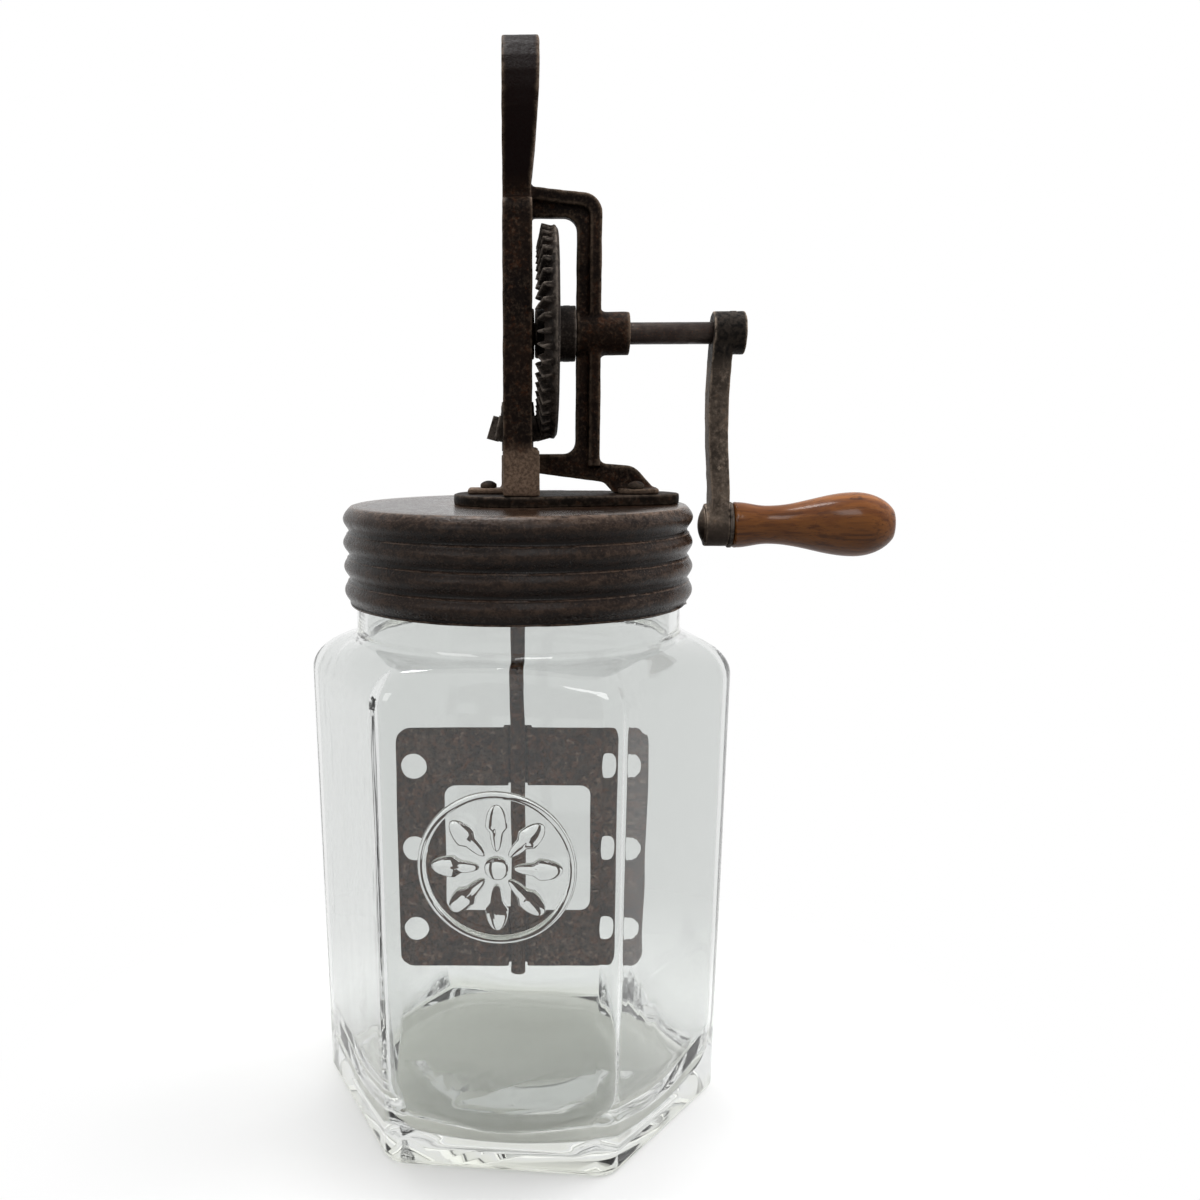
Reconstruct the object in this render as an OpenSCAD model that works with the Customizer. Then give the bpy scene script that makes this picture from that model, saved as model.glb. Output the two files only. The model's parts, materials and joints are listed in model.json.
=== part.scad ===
// Hand-cranked butter churn: a six-sided glass jar, a beaded metal lid, a cast frame that
// carries a bevel gear drive, a crank with a wooden grip, and a perforated dasher plate.
// Sizes are in millimetres. The jar stands on z = 0, the spindle runs up x = y = 0,
// and the crank shaft points along +X.

/* [Jar] */
// Height of the jar from foot to rim
jar_h = 263; // [240:1:290]
// Width across the rounded corners at the shoulder
jar_w = 185; // [170:1:195]
// Width across the rounded corners at the foot
jar_foot_w = 179; // [165:1:190]
// Radius of the upright corners
jar_corner_r = 10; // [7:0.5:14]
// Radius of the edge round the foot
jar_foot_r = 5; // [3:0.5:8]
// Thickness of the glass walls
jar_wall = 4.5; // [3:0.5:6]
// Thickness of the glass floor
jar_floor = 9; // [6:0.5:14]
// Radius of the hollow where the walls meet the floor inside
jar_hollow_r = 14; // [8:1:20]
// Outer diameter of the round neck
neck_d = 140; // [132:1:148]
// Height of the neck above the shoulder
neck_h = 52; // [48:1:60]
// Height of the rounded shoulder
shoulder_h = 17; // [12:1:24]
// Radius of the bend from the shoulder into the neck
neck_bend_r = 4; // [2:0.5:6]
// How far the jar stands turned under the lid, in degrees
jar_turn = -6; // [-30:1:30]

/* [Lid] */
// Thickness of the lid's sheet metal
lid_sheet = 0.8; // [0.5:0.1:1.2]
// Gap between the neck and the inside of the lid's grooves
lid_gap = 2.4; // [1.5:0.1:4]
// How far each ring bead stands out
bead_depth = 1.8; // [1:0.1:3]
// Height of one ring bead
bead_pitch = 10.2; // [8:0.1:11]
// Number of ring beads
bead_n = 4; // [3:1:4]
// Thickness of the seal between jar and lid
seal_t = 2.6; // [1.5:0.1:4]
// Width of the seal
seal_w = 6; // [4:0.5:8]

/* [Base plate] */
// Thickness of the plate on the lid
plate_t = 4.5; // [3:0.5:6]
// Flat left round the frame's feet
plate_margin = 1; // [0.5:0.5:4]
// Radius of the plate's narrow end
plate_end_r = 14; // [12:0.5:17]

/* [Frame] */
// Thickness of the frame along the crank shaft
frame_w = 12; // [10:0.5:16]
// Thickness of each upright
upright_t = 8; // [6:0.5:12]
// Gap between the pinion and the uprights
upright_gap = 2; // [1:0.5:6]
// How far each foot flares out
foot_flare = 3; // [1:0.5:6]
// Height of the flared feet
foot_h = 19; // [12:1:26]
// Width of the feet along the crank shaft
foot_w = 15; // [12:0.5:18]
// Height of the spindle boss on the base plate
boss_h = 16.5; // [12:0.5:22]
// Diameter of the spindle boss
boss_d = 14; // [12.5:0.5:18]
// Diameter of the inner crank bearing
inner_boss_d = 21; // [16:0.5:26]
// Height of the bar that carries the inner crank bearing
cross_bar_h = 15; // [12:0.5:18]
// Gap between the gear and the yoke above it
gear_clear = 2; // [1:0.5:5]
// Depth of the frame's head above the opening
head_t = 12.5; // [10:0.5:16]

/* [Handle] */
// Height of the handle above the frame's head
handle_h = 56; // [50:1:75]
// Width of the handle
handle_w = 88; // [76:1:110]
// Thickness of the handle's bars
handle_bar = 12; // [9:0.5:14]
// Thickness of the handle along the crank shaft at its top
handle_top_t = 14.8; // [12.5:0.5:18]

/* [Yoke] */
// Thickness of the yoke's upright leg
yoke_leg_t = 10.2; // [8:0.2:14]
// Thickness of the yoke's outer flange
yoke_flange_t = 5; // [3:0.5:7]
// Width of the yoke's outer flange
yoke_flange_w = 13; // [9:0.5:16]
// Width of the yoke's web
yoke_web_w = 7; // [5:0.5:8.5]
// Diameter of the outer crank bearing
yoke_boss_d = 18; // [15:0.5:22]
// How far the outer crank bearing stands out of the yoke
yoke_boss_l = 12; // [8:0.5:16]
// Distance from the yoke's leg to the foot bolts
foot_reach = 15; // [13:0.5:18]

/* [Gears] */
// Teeth of the drive gear
gear_teeth = 45; // [40:1:50]
// Teeth of the pinion
pinion_teeth = 12; // [11:1:14]
// Pitch diameter of the drive gear
gear_d = 87; // [80:1:95]
// Length of the teeth
face_w = 10; // [7:0.5:12]
// Thickness of the gear's rim behind the teeth
rim_t = 2.8; // [2.4:0.2:6]
// Diameter of the gear's hub
gear_hub_d = 22.8; // [18:0.2:28]
// How far the hub stands out behind the gear
gear_hub_l = 7.6; // [5:0.2:10]
// Height of the pinion's hub below its teeth
pinion_hub_h = 4.8; // [3:0.2:8]
// Height of the pinion's collar above its teeth
pinion_collar_h = 6; // [5:0.5:8]

/* [Crank] */
// Diameter of the crank shaft
shaft_d = 9; // [7:0.5:11]
// Radius at which the grip turns
crank_r = 80; // [60:1:95]
// Gap between the lid's beads and the crank arm
arm_clear = 4.8; // [4.5:0.1:12]
// Thickness of the crank arm
arm_t = 10.2; // [8:0.2:14]
// Width of the crank arm at its middle
arm_w = 13; // [10:0.5:15]
// How far the arm bows towards the jar
arm_bow = 1.4; // [0:0.1:2.5]
// Diameter of the hub on the shaft
crank_hub_d = 17.6; // [15:0.2:24]
// Length of the hub on the shaft
crank_hub_l = 15; // [12:0.2:20]
// Diameter of the eye that holds the grip spindle
crank_eye_d = 18.4; // [17:0.2:24]

/* [Grip] */
// Length of the wooden grip
grip_l = 70; // [60:1:90]
// Diameter of the grip's collar by the arm
grip_collar_d = 19.6; // [18:0.2:24]
// Diameter of the grip's neck
grip_neck_d = 16.4; // [12:0.2:18]
// Diameter of the grip's bulb
grip_bulb_d = 27.6; // [22:0.2:32]
// Diameter of the spindle through the grip
grip_pin_d = 6; // [5:0.2:7]

/* [Dasher] */
// Diameter of the spindle
spindle_d = 6.4; // [5.6:0.2:7]
// Width of the dasher plate
dasher_w = 110; // [95:1:120]
// Height of the dasher plate
dasher_h = 113; // [100:1:125]
// Thickness of the dasher plate
dasher_t = 2; // [1.5:0.1:3]
// Gap between the dasher plate and the jar's floor
dasher_gap = 46; // [30:1:60]
// Radius of the plate's corners
dasher_corner_r = 7; // [3:0.5:12]
// Width of the window in the plate
window_w = 65.8; // [50:0.2:72]
// Height of the window in the plate
window_h = 60; // [48:1:66]
// Radius of the window's corners
window_r = 5; // [2:0.5:8]
// Diameter of the holes beside the window
hole_d = 12; // [8:0.5:13]
// Distance between the holes
hole_pitch = 38.6; // [30:0.2:42]
// Distance from the holes to the plate's side edge
hole_inset = 8.2; // [7:0.2:10]

/* [Fasteners] */
// Diameter of the frame bolts
bolt_d = 5; // [4:0.5:5.5]
// Diameter of the bolt heads
bolt_head_d = 7; // [6:0.5:8.5]
// Width of the seat cast round a bolt head
bolt_seat_d = 9; // [8.5:0.5:11]
// Distance of the single bolt from the spindle
tab_bolt_x = 12.5; // [12:0.5:15]
// Distance of the paired bolts from the yoke's web
pair_gap = 1; // [0.5:0.5:3]
// Thickness of the bolted pads
pad_t = 2.4; // [2:0.2:4]
// Diameter of the pins through hubs
pin_d = 3; // [2:0.2:3.6]
// Diameter of the dasher rivets
rivet_d = 3; // [2.4:0.2:3.4]

/* [Fits] */
// Radial clearance of a turning shaft
run_fit = 0.05; // [0.02:0.01:0.1]
// Clearance of a fixed pin, bolt or rivet in its hole
pin_fit = 0.03; // [0.02:0.01:0.1]
// Gap between faces that turn past each other
face_gap = 0.3; // [0.2:0.05:0.5]
// Gap round pieces that pass freely through a hole
pass_gap = 1.2; // [0.8:0.1:1.5]

/* [Hidden] */
$fn = 64;

// Points on a rounded corner of an outline
arc_steps = 8;
// Extra reach of a cut past the faces that it opens
cut = 1;

// Jar
jar_sides = 6;
side_angle = 360 / jar_sides;
half_angle = side_angle / 2;
neck_r = neck_d / 2;
neck_in_r = neck_r - jar_wall;
rim_r = jar_wall / 2;
shoulder_z = jar_h - neck_h - shoulder_h;
corner_in_r = jar_corner_r - 2;
jar_apothem = (jar_w / 2 - jar_corner_r) * cos(half_angle) + jar_corner_r;
foot_apothem = (jar_foot_w / 2 - jar_corner_r) * cos(half_angle) + jar_corner_r;
bend_z = shoulder_z + shoulder_h;
foot_pad_h = jar_foot_r / 4;
foot_pad_inset = jar_foot_r * 0.75;
jar_cap_z = foot_pad_h / 2;

// Lid
lid_in_r = neck_r + lid_gap;
lid_valley_r = lid_in_r + lid_sheet;
lid_r = lid_valley_r + bead_depth;
lid_h = bead_n * bead_pitch;
bead_steps = 10;
bead_power = 0.8;
seal_bottom = jar_h + face_gap;
lid_under = seal_bottom + seal_t;
lid_top = lid_under + lid_sheet;
plate_top = lid_top + plate_t;

// Bevel gear pair, with both cones meeting where the spindle axis crosses the crank axis
gear_module = gear_d / gear_teeth;
gear_r = gear_d / 2;
pinion_r = gear_module * pinion_teeth / 2;
cone_l = norm([gear_r, pinion_r]);
gear_cone = atan2(gear_r, pinion_r);
pinion_cone = 90 - gear_cone;
tooth_add = gear_module;
tooth_ded = 1.2 * gear_module;
tooth_sink = 0.35 * gear_module;
tooth_small = (cone_l - face_w) / cone_l;
pinion_tip_r = pinion_r + tooth_add * cos(pinion_cone);
gear_tip_r = gear_r + tooth_add * cos(gear_cone);

// Heights of the drive
boss_top = plate_top + boss_h;
washer_t = 1;
washer_bottom = boss_top;
pinion_bottom = washer_bottom + washer_t + face_gap;
pinion_pitch_z = pinion_bottom + pinion_hub_h;
crank_z = pinion_pitch_z + gear_r;
pinion_small_z = crank_z - tooth_small * gear_r;
collar_top = pinion_small_z + pinion_collar_h;
spindle_top = collar_top + cut;

// Places along the crank shaft
inner_boss_x = frame_w / 2 + 1;
gear_front_x = inner_boss_x + face_gap;
gear_back_x = pinion_r + tooth_ded * sin(gear_cone) + rim_t;
gear_hub_x = gear_back_x + gear_hub_l;
yoke_in_x = gear_hub_x + face_gap;
yoke_out_x = yoke_in_x + yoke_leg_t;
yoke_boss_x = yoke_out_x + yoke_boss_l;
arm_x = lid_r + arm_clear;
arm_out_x = arm_x + arm_t;
hub_end_x = arm_x + crank_hub_l;
gear_pin_x = gear_hub_x - gear_hub_l / 2;
crank_pin_x = hub_end_x - crank_hub_l / 3;
crank_pin_down = crank_hub_d / 2 - 1;
eye_z = crank_z - crank_r;

// Frame outline
upright_in = pinion_tip_r + upright_gap;
upright_out = upright_in + upright_t;
foot_out = upright_out + foot_flare;
opening_top = crank_z + gear_tip_r + gear_clear;
head_top = opening_top + head_t;
shoulder_top = head_top - 7;
head_corner_r = 5;
window_corner_r = 4;
handle_top = head_top + handle_h;
handle_back_x = -frame_w / 2;
handle_neck_t = frame_w - 0.4;
foot_bolt_x = yoke_out_x + foot_reach;
pair_y = yoke_web_w / 2 + pair_gap + bolt_seat_d / 2;
pad_half = pair_y + bolt_seat_d / 2;
pad_corner_r = 5;
pad_end_x = foot_bolt_x + bolt_seat_d / 2 + 5.5;
tab_half = bolt_seat_d / 2 + 2.5;
tab_end_x = tab_bolt_x + bolt_seat_d / 2 + 4.5;
plate_r = max(foot_out, tab_end_x) + plate_margin;
plate_end_x = pad_end_x - plate_end_r / 3;
bolt_places = [[-tab_bolt_x, 0], [foot_bolt_x, -pair_y], [foot_bolt_x, pair_y]];

// Fasteners
bolt_head_h = 3;
bolt_washer_d = 10;
bolt_washer_t = 1;
nut_flats = 8;
nut_h = 4;
bolt_tail = 2;
bolt_r = bolt_d / 2;

// Spindle and dasher
spindle_r = spindle_d / 2;
pass_r = spindle_r + pass_gap;
spindle_collar_d = 12.4;
spindle_collar_h = 8;
spindle_collar_top = lid_under - face_gap;
dasher_bottom = jar_floor + dasher_gap;
dasher_top = dasher_bottom + dasher_h;
dasher_mid = dasher_bottom + dasher_h / 2;
band_h = (dasher_h - window_h) / 2;
trough_half = spindle_r + 1;
trough_y = spindle_r + pin_fit;
spindle_tip = 3.2;
spindle_flat_y = 0.8 * spindle_r;
rivet_head_d = 6;
rivet_head_h = 1.4;
rivet_zs = [dasher_bottom + band_h / 2, dasher_top - band_h / 2 + 4];

// Grip
grip_washer_t = 1.6;
grip_x = arm_out_x + grip_washer_t + face_gap;
grip_end_x = grip_x + grip_l;
grip_neck_x = 0.22 * grip_l;
grip_bulb_x = 0.75 * grip_l;
grip_steps = 10;
end_recess_d = 12;
end_recess_l = 4.5;
end_seat_x = grip_end_x - end_recess_l;
end_washer_t = 1.2;
pin_head_h = 2;
pin_head_d = 9.6;
eye_head_d = 0.84 * crank_eye_d;
eye_head_h = 2.4;

// Colours
iron = "#3a322d";
dark_iron = "#2b2725";
tin = "#4a403a";
rusty = "#4b382d";
steel = "#5b5651";
glass = [0.82, 0.88, 0.87, 0.45];
wood = "#8a5530";
rubber = "#6b4a3a";

// Outlines

function unit(v) = v / norm(v);
function flat(p) = [p[0], p[1]];

// Points along the rounded corner p, between its neighbours a and b
function corner_arc(a, p, b) =
    let (
        u = unit(flat(a) - flat(p)),
        w = unit(flat(b) - flat(p)),
        half = acos(max(-1, min(1, u * w))) / 2,
        c = flat(p) + unit(u + w) * p[2] / sin(half),
        s = flat(p) + u * p[2] / tan(half) - c,
        e = flat(p) + w * p[2] / tan(half) - c,
        a0 = atan2(s[1], s[0]),
        turn = (atan2(e[1], e[0]) - a0 + 540) % 360 - 180
    )
    [for (i = [0:arc_steps]) c + p[2] * [cos(a0 + turn * i / arc_steps), sin(a0 + turn * i / arc_steps)]];

// Outline through corners given as [x, y, radius]
function rounded(corners) =
    let (n = len(corners))
    [for (i = [0:n - 1]) each (corners[i][2] > 0
        ? corner_arc(corners[(i + n - 1) % n], corners[i], corners[(i + 1) % n])
        : [flat(corners[i])])];

function box_corners(x0, y0, x1, y1, r) = [[x0, y0, r], [x1, y0, r], [x1, y1, r], [x0, y1, r]];

// Smooth step from a to b as t goes from 0 to 1
function ease(a, b, t) = a + (b - a) * (1 - cos(180 * t)) / 2;

// Radius of a six-sided outline with rounded corners, in the direction a
function hex_r(apothem, corner, a) =
    let (
        off = abs((a + half_angle) % side_angle - half_angle),
        centre = (apothem - corner) / cos(half_angle),
        arc_end = atan2(corner * sin(half_angle), centre + corner * cos(half_angle))
    )
    off <= arc_end
        ? centre * cos(off) + sqrt(pow(corner, 2) - pow(centre * sin(off), 2))
        : apothem / cos(half_angle - off);

// Directions of the points round the jar, closer together at its corners
jar_offsets = [-20, -10, -6, -3, 0, 3, 6, 10, 20, 30];
jar_angles = [for (s = [0:jar_sides - 1]) each [for (o = jar_offsets) s * side_angle + o + side_angle]];

// One ring round the jar at height z, part of the way from the six-sided outline to a circle
function jar_ring(z, apothem, corner, round_r, k) =
    [for (a = jar_angles)
        let (r = (1 - k) * hex_r(apothem, corner, a) + k * round_r)
        [r * cos(a), r * sin(a), z]];

function wall_apothem(z) = foot_apothem + (jar_apothem - foot_apothem) * min(1, z / shoulder_z);

// Rings up the outside of the jar, over the rim and down the inside
jar_outer = [
    for (t = [0:30:90])
        let (z = jar_cap_z + jar_foot_r * (1 - cos(t)))
        jar_ring(z, wall_apothem(z) - jar_foot_r * (1 - sin(t)), jar_corner_r, 0, 0),
    for (t = [0:15:90])
        jar_ring(shoulder_z + shoulder_h * sin(t), jar_apothem, jar_corner_r,
            neck_r + neck_bend_r, 1 - cos(t)),
    for (t = [30:30:90])
        jar_ring(bend_z + neck_bend_r * (1 - cos(t)), jar_apothem, jar_corner_r,
            neck_r + neck_bend_r * (1 - sin(t)), 1)
];
jar_rim = [
    for (t = [0:30:180])
        jar_ring(jar_h - rim_r + rim_r * sin(t), jar_apothem, jar_corner_r,
            neck_r - rim_r + rim_r * cos(t), 1)
];
bend_in_r = neck_bend_r + jar_wall;
jar_inner = [
    for (t = [90:-30:0])
        jar_ring(bend_z + neck_bend_r - bend_in_r * cos(t), jar_apothem, jar_corner_r,
            neck_r + neck_bend_r - bend_in_r * sin(t), 1),
    for (t = [75:-15:0])
        jar_ring(shoulder_z + (shoulder_h - jar_wall) * sin(t), jar_apothem - jar_wall, corner_in_r,
            neck_r + neck_bend_r, 1 - cos(t)),
    for (t = [0:22.5:90])
        let (z = jar_floor + jar_hollow_r * (1 - sin(t)))
        jar_ring(z, wall_apothem(z) - jar_wall - jar_hollow_r * (1 - cos(t)), corner_in_r, 0, 0)
];

// Closed solid through a row of rings with equal numbers of points
module loft(rings) {
    n = len(rings[0]);
    last = len(rings) - 1;
    sides = [
        for (k = [0:last - 1], i = [0:n - 1])
            let (a = k * n + i, b = k * n + (i + 1) % n)
            each [[a, a + n, b], [b, a + n, b + n]]
    ];
    first_cap = [for (i = [0:n - 1]) i];
    last_cap = [for (i = [n - 1:-1:0]) last * n + i];
    polyhedron(points = [for (r = rings) each r], faces = concat(sides, [first_cap, last_cap]));
}

// Shapes that several pieces share

module outline_yz(corners, thickness) {
    translate([-thickness / 2, 0, 0]) rotate([90, 0, 90]) linear_extrude(thickness)
        polygon(rounded(corners));
}

module outline_xz(corners, width) {
    translate([0, width / 2, 0]) rotate([90, 0, 0]) linear_extrude(width) polygon(rounded(corners));
}

module rod_x(r, x0, x1, z) {
    translate([x0, 0, z]) rotate([0, 90, 0]) cylinder(r = r, h = x1 - x0);
}

module rod_y(r, y0, y1, x, z) {
    translate([x, y0, z]) rotate([-90, 0, 0]) cylinder(r = r, h = y1 - y0);
}

module rod_z(r, z0, z1, x = 0, y = 0) {
    translate([x, y, z0]) cylinder(r = r, h = z1 - z0);
}

// Domed head that rises along +Z from z = 0
module dome(d, h) {
    ball = (d * d / 4 + h * h) / (2 * h);
    rotate_extrude() intersection() {
        translate([0, h - ball]) circle(ball);
        square([d / 2, h]);
    }
}

module bolt_holes(z0, z1) {
    for (p = bolt_places) rod_z(bolt_r + pin_fit, z0, z1, p[0], p[1]);
}

// One straight bevel tooth that points at the cone's own apex, on a gear whose axis is +Z
module bevel_tooth(cone, root_w, pitch_w, tip_w) {
    pitch_point = cone_l * [sin(cone), 0, cos(cone)];
    out = [cos(cone), 0, -sin(cone)];
    side = [0, 1, 0];
    half_section = [[-tooth_ded - tooth_sink, root_w], [0, pitch_w], [tooth_add, tip_w]];
    section = concat(
        [for (i = [0:2]) [half_section[i][0], -half_section[i][1]]],
        [for (i = [2:-1:0]) half_section[i]]
    );
    loft([for (s = [tooth_small, 1]) [for (p = section) s * (pitch_point + p[0] * out + p[1] * side)]]);
}

module bevel_teeth(n, cone, first, root_w, pitch_w, tip_w) {
    for (i = [0:n - 1]) rotate(first + 360 * i / n) bevel_tooth(cone, root_w, pitch_w, tip_w);
}

// Jar and lid

module glass_jar() {
    color(glass) rotate(jar_turn) {
        loft(concat(jar_outer, jar_rim, jar_inner));
        linear_extrude(foot_pad_h)
            polygon([for (p = jar_ring(0, foot_apothem - foot_pad_inset, jar_corner_r, 0, 0)) flat(p)]);
    }
}

module seal_ring() {
    color(rubber) difference() {
        rod_z(neck_r, seal_bottom, lid_under);
        rod_z(neck_r - seal_w, seal_bottom - cut, lid_under + cut);
    }
}

function bead_r(u) = lid_valley_r + bead_depth * pow(max(0, sin(180 * u / bead_pitch % 180)), bead_power);

module lid() {
    depths = [for (i = [0:bead_n * bead_steps]) i * bead_pitch / bead_steps];
    outside = [for (u = depths) [bead_r(u), lid_top - u]];
    inside = [for (i = [len(depths) - 1:-1:1]) [bead_r(depths[i]) - lid_sheet, lid_top - depths[i]]];
    top = [[lid_in_r, lid_under], [pass_r, lid_under], [pass_r, lid_top]];
    color(tin) difference() {
        rotate_extrude($fn = 96) polygon(concat(outside, inside, top));
        bolt_holes(lid_under - cut, lid_top + cut);
    }
}

// Base plate and frame

// Plate round the spindle, drawn out to a narrow rounded end under the yoke's foot
module base_plate() {
    lean = asin((plate_r - plate_end_r) / plate_end_x);
    tangent = [sin(lean), cos(lean)];
    color(dark_iron) difference() {
        union() {
            rod_z(plate_r, lid_top, plate_top);
            rod_z(plate_end_r, lid_top, plate_top, plate_end_x);
            translate([0, 0, lid_top]) linear_extrude(plate_t) polygon([
                plate_r * tangent,
                [plate_end_x, 0] + plate_end_r * tangent,
                [plate_end_x, 0] + plate_end_r * [tangent[0], -tangent[1]],
                plate_r * [tangent[0], -tangent[1]]
            ]);
        }
        rod_z(pass_r, lid_top - cut, plate_top + cut);
        bolt_holes(lid_top - cut, plate_top + cut);
    }
}

// Uprights, head and cross bar in the plane of the spindle
module upright_frame() {
    difference() {
        outline_yz([
            [-upright_out, plate_top, 0], [upright_out, plate_top, 0],
            [upright_out, shoulder_top, head_corner_r], [-upright_out, shoulder_top, head_corner_r]
        ], frame_w);
        outline_yz(box_corners(-upright_in, boss_top, upright_in, crank_z - cross_bar_h / 2,
            window_corner_r), frame_w + 2 * cut);
        outline_yz(box_corners(-upright_in, crank_z + cross_bar_h / 2, upright_in, opening_top - 2,
            window_corner_r), frame_w + 2 * cut);
    }
    for (s = [-1, 1])
        translate([(foot_w - frame_w) / 2, 0, 0]) outline_yz([
            [s * upright_in, plate_top, 0], [s * foot_out, plate_top, 0], [s * foot_out, plate_top + 3, 0],
            [s * upright_out, plate_top + foot_h, 0], [s * upright_in, plate_top + foot_h, 0]
        ], foot_w);
}

// Open grip above the head, wide at its top and drawn in to the head
module handle() {
    half = handle_w / 2;
    neck_half = 15;
    top_r = 27;
    in_low_r = 3;
    root_z = shoulder_top - 4;
    in_top = handle_top - handle_bar;
    in_bottom = head_top + handle_bar * 0.7;
    in_half = half - handle_bar * 1.05;
    slope = (half - neck_half) / (handle_top - root_z);
    in_low_half = in_half - slope * (in_top - in_bottom);
    side_steps = 8;
    back_x = handle_back_x + handle_top_t;
    neck_x = handle_back_x + handle_neck_t;
    intersection() {
        difference() {
            outline_yz([
                [-neck_half, root_z, 0], [neck_half, root_z, 0],
                [half, handle_top, top_r], [-half, handle_top, top_r]
            ], 4 * frame_w);
            outline_yz([
                [-in_low_half, in_bottom, in_low_r], [in_low_half, in_bottom, in_low_r],
                [in_half, in_top, top_r - handle_bar], [-in_half, in_top, top_r - handle_bar]
            ], 4 * frame_w + 2 * cut);
        }
        translate([0, handle_w, 0]) rotate([90, 0, 0]) linear_extrude(2 * handle_w) polygon(concat(
            [[handle_back_x, handle_top + cut], [handle_back_x, root_z - cut], [neck_x, root_z - cut]],
            [for (i = [0:side_steps])
                let (t = i / side_steps)
                [neck_x + (back_x - neck_x) * sin(90 * t), head_top + (handle_h - handle_bar) * t]],
            [[back_x, handle_top + cut]]
        ));
    }
}

// Bracket round the gear that carries the outer crank bearing, a web with a flange along its back
module yoke() {
    top_drop = 4;
    bar_t = 7;
    window_r = 5;
    arm_top = plate_top + 11.5;
    flange_x = yoke_out_x - yoke_flange_t;
    difference() {
        outline_xz([
            [0, head_top, 0], [yoke_out_x, head_top - top_drop, 8], [yoke_out_x, arm_top + 1, 3],
            [foot_bolt_x, arm_top, 8], [pad_end_x, plate_top, 0], [yoke_out_x + 6, plate_top, 0],
            [yoke_out_x + 2, plate_top + 4.5, 3], [0, boss_top - bar_t, 0]
        ], yoke_web_w);
        outline_xz(box_corners(-2 * window_r, boss_top, yoke_in_x, opening_top, window_r),
            yoke_web_w + 2 * cut);
    }
    outline_xz([
        [0, head_top, 0], [yoke_out_x, head_top - top_drop, 8], [yoke_out_x, arm_top, 0],
        [flange_x, arm_top, 0], [flange_x, head_top - top_drop - yoke_flange_t, 4],
        [0, head_top - yoke_flange_t, 0]
    ], yoke_flange_w);
    rod_x(yoke_boss_d / 2, yoke_in_x, yoke_boss_x, crank_z);
}

// Flat pads through which the frame is bolted down
module bolt_pads() {
    translate([-tab_end_x, -tab_half, plate_top]) cube([tab_end_x, 2 * tab_half, pad_t]);
    translate([0, 0, plate_top]) linear_extrude(pad_t) polygon(rounded(
        box_corners(foot_bolt_x - bolt_seat_d / 2 - 3, -pad_half, pad_end_x, pad_half, pad_corner_r)));
}

module frame() {
    color(iron) difference() {
        union() {
            upright_frame();
            handle();
            yoke();
            bolt_pads();
            rod_z(boss_d / 2, plate_top, boss_top);
            rod_x(inner_boss_d / 2, 0, inner_boss_x, crank_z);
        }
        rod_x(shaft_d / 2 + run_fit, -inner_boss_x - cut, yoke_boss_x + cut, crank_z);
        rod_z(spindle_r + run_fit, plate_top - cut, boss_top + cut);
        bolt_holes(plate_top - cut, plate_top + pad_t + cut);
        for (p = bolt_places)
            rod_z(bolt_seat_d / 2, plate_top + pad_t, plate_top + foot_h, p[0], p[1]);
    }
}

// Fasteners of the frame

module frame_bolts() {
    color(dark_iron) for (p = bolt_places) {
        rod_z(bolt_head_d / 2, plate_top + pad_t, plate_top + pad_t + bolt_head_h / 2, p[0], p[1]);
        translate([p[0], p[1], plate_top + pad_t + bolt_head_h / 2]) dome(bolt_head_d, bolt_head_h / 2);
        rod_z(bolt_r, lid_under - bolt_washer_t - nut_h - bolt_tail, plate_top + pad_t, p[0], p[1]);
    }
}

module bolt_washers() {
    color(steel) for (p = bolt_places) difference() {
        rod_z(bolt_washer_d / 2, lid_under - bolt_washer_t, lid_under, p[0], p[1]);
        rod_z(bolt_r + pin_fit, lid_under - bolt_washer_t - cut, lid_under + cut, p[0], p[1]);
    }
}

module bolt_nuts() {
    top = lid_under - bolt_washer_t;
    color(steel) for (p = bolt_places) difference() {
        translate([p[0], p[1], top - nut_h]) cylinder(d = nut_flats / cos(30), h = nut_h, $fn = 6);
        rod_z(bolt_r + pin_fit, top - nut_h - cut, top + cut, p[0], p[1]);
    }
}

// Crank

module crank_shaft() {
    color(dark_iron) difference() {
        rod_x(shaft_d / 2, -frame_w / 2, hub_end_x, crank_z);
        for (x = [gear_pin_x, crank_pin_x])
            rod_z(pin_d / 2 + pin_fit, crank_z - shaft_d, crank_z + shaft_d, x);
    }
}

// Body of the gear behind its teeth, turned about the crank axis
module gear_blank() {
    root_cone = gear_cone - atan2(tooth_ded, cone_l);
    root_out = gear_r - tooth_ded * cos(gear_cone);
    root_in = root_out * tooth_small - 1;
    web_x = gear_back_x - rim_t;
    rotate([0, 0, 180]) rotate_extrude($fn = 96) polygon([
        [shaft_d / 2 + pin_fit, gear_front_x], [gear_hub_d / 2 - 1.4, gear_front_x],
        [gear_hub_d / 2 - 1.4, web_x], [root_in, web_x],
        [root_in, root_in / tan(root_cone)], [root_out, root_out / tan(root_cone)],
        [root_out + 0.5, gear_back_x - rim_t / 2], [root_out - 1.5, gear_back_x],
        [gear_hub_d / 2, gear_back_x], [gear_hub_d / 2, gear_hub_x],
        [shaft_d / 2 + pin_fit, gear_hub_x]
    ]);
}

module drive_gear() {
    color(dark_iron) difference() {
        translate([0, 0, crank_z]) rotate([0, 90, 0]) {
            gear_blank();
            bevel_teeth(gear_teeth, gear_cone, 0,
                0.72 * gear_module, 0.58 * gear_module, 0.27 * gear_module);
        }
        rod_z(pin_d / 2 + pin_fit, crank_z - gear_hub_d, crank_z + gear_hub_d, gear_pin_x);
    }
}

module gear_pin() {
    color(steel) rod_z(pin_d / 2, crank_z - gear_hub_d / 2, crank_z + gear_hub_d / 2, gear_pin_x);
}

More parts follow.
